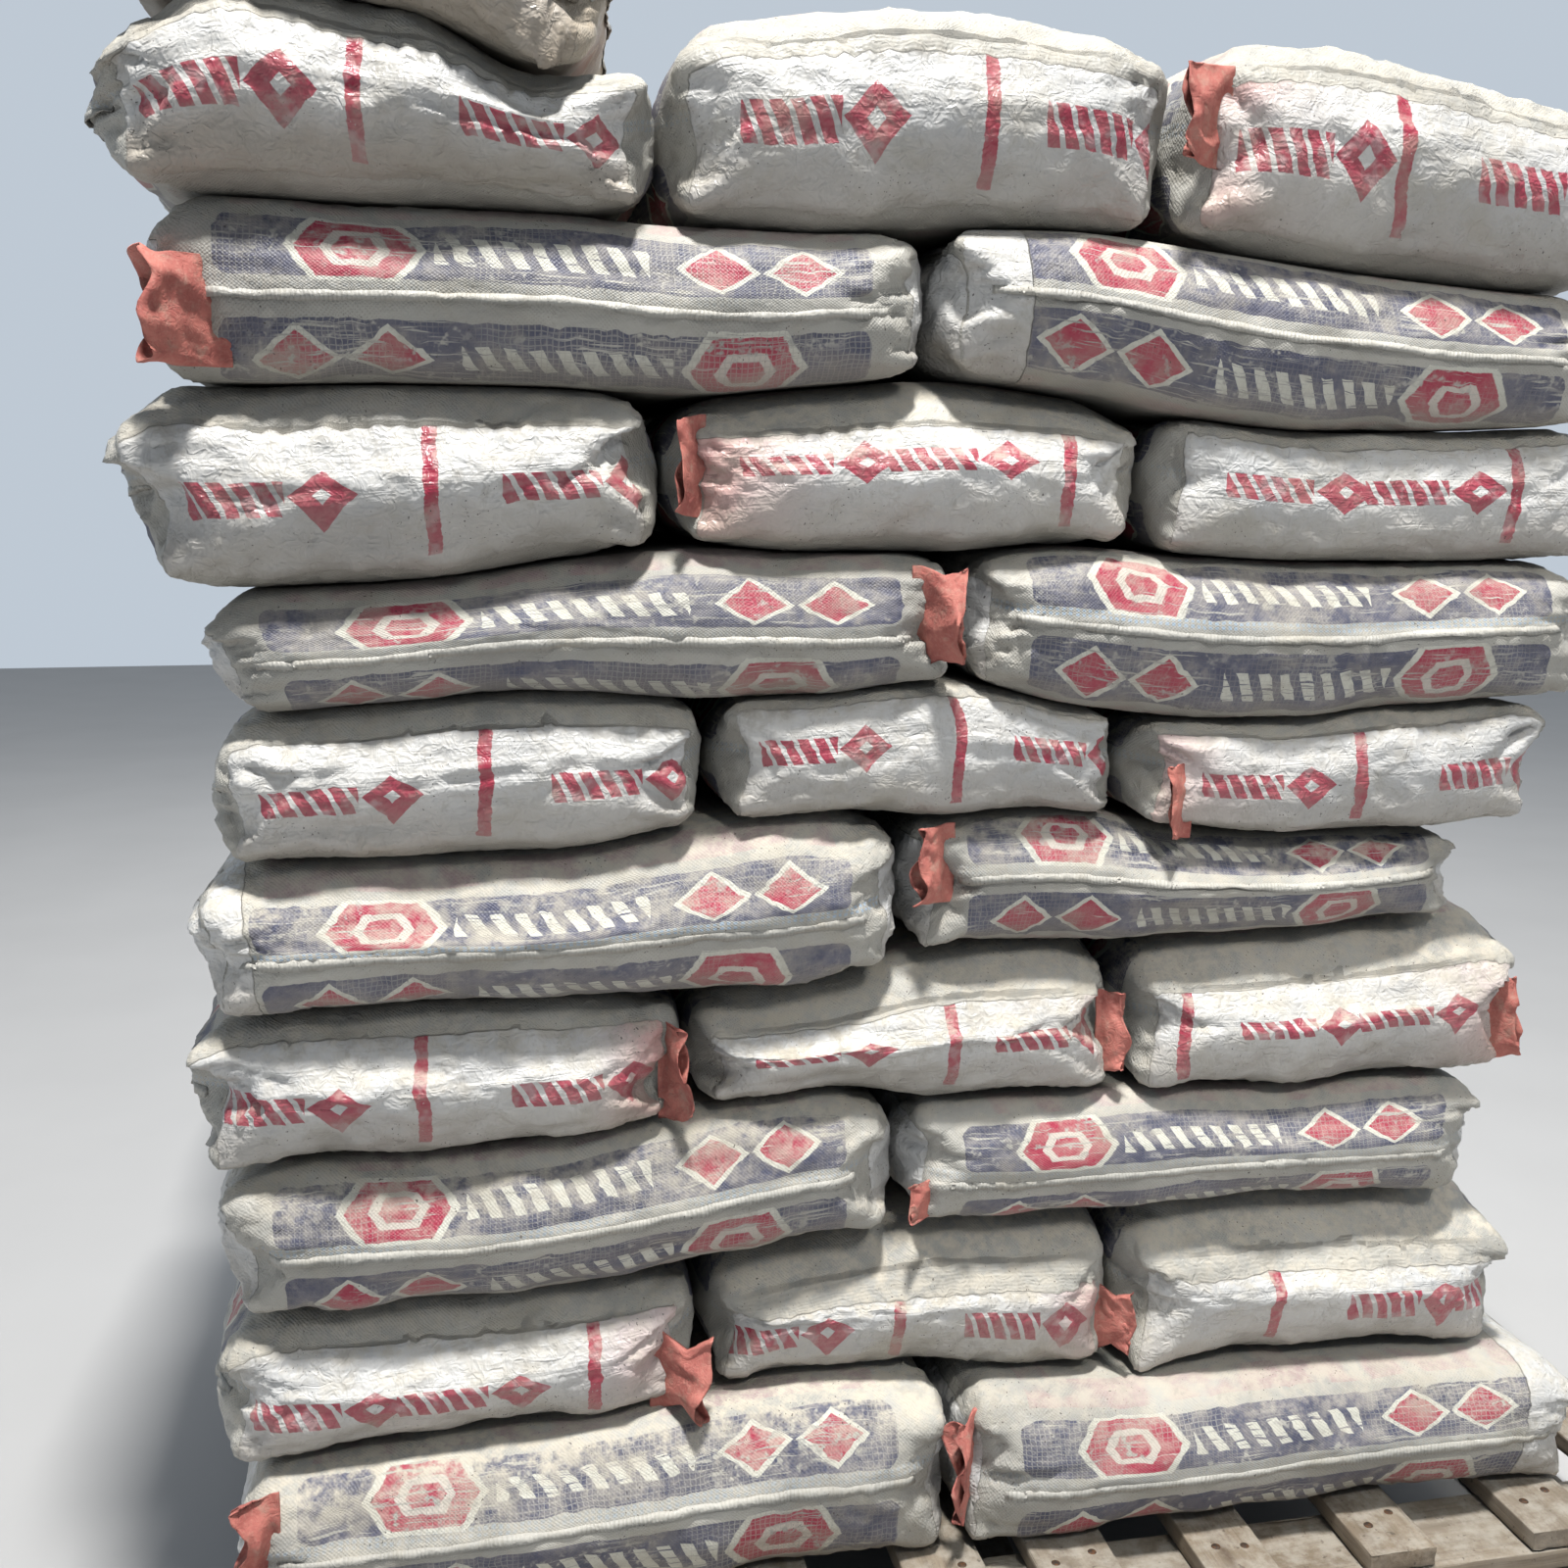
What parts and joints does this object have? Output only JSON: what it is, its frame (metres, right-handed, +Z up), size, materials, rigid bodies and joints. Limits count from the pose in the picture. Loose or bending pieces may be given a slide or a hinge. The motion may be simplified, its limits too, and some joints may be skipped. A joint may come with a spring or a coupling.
{
  "type": "pallet of sacks",
  "caption": "Block-bottom woven sacks of powder stacked by hand in interlocked layers on a wooden block pallet, with a loose sack thrown on top.",
  "frame": {"origin": "on the ground, under the middle of the whole object's bounding box", "axes": "+Z up; X along the long face of the stack, with +X to the right when that face is looked at; the face that shows looks towards -Y"},
  "size_m": [1.4736, 1.2, 1.6612],
  "materials": {
    "sack": "coated woven polypropylene with a smooth glued end patch, dusty, semi-matt",
    "wood": "rough-sawn weathered softwood, grey-brown and dusty"
  },
  "bodies": {
    "root": {"sack_01_left": "sack", "sack_01_right": "sack", "sack_02_left": "sack", "sack_02_middle": "sack", "sack_02_right": "sack", "sack_03_left": "sack", "sack_03_right": "sack", "sack_04_left": "sack", "sack_04_middle": "sack", "sack_04_right": "sack", "sack_05_left": "sack", "sack_05_right": "sack", "sack_06_left": "sack", "sack_06_middle": "sack", "sack_06_right": "sack", "sack_07_left": "sack", "sack_07_right": "sack", "sack_08_left": "sack", "sack_08_middle": "sack", "sack_08_right": "sack", "sack_09_left": "sack", "sack_09_right": "sack", "sack_10_left": "sack", "sack_10_middle": "sack", "sack_10_right": "sack", "back_sacks_01": "sack", "back_sacks_02": "sack", "back_sacks_03": "sack", "back_sacks_04": "sack", "back_sacks_05": "sack", "back_sacks_06": "sack", "back_sacks_07": "sack", "back_sacks_08": "sack", "back_sacks_09": "sack", "back_sacks_10": "sack", "sack_on_top": "sack", "skid_left": "wood", "skid_middle": "wood", "skid_right": "wood", "cross_board_front": "wood", "block_front_left": "wood", "block_front_middle": "wood", "block_front_right": "wood", "cross_board_middle": "wood", "block_middle_left": "wood", "block_middle_middle": "wood", "block_middle_right": "wood", "cross_board_back": "wood", "block_back_left": "wood", "block_back_middle": "wood", "block_back_right": "wood", "deck_slat_1": "wood", "deck_slat_2": "wood", "deck_slat_3": "wood", "deck_slat_4": "wood", "deck_slat_5": "wood", "deck_slat_6": "wood", "deck_slat_7": "wood", "deck_slat_8": "wood", "deck_slat_9": "wood"}
  },
  "joints": []
}
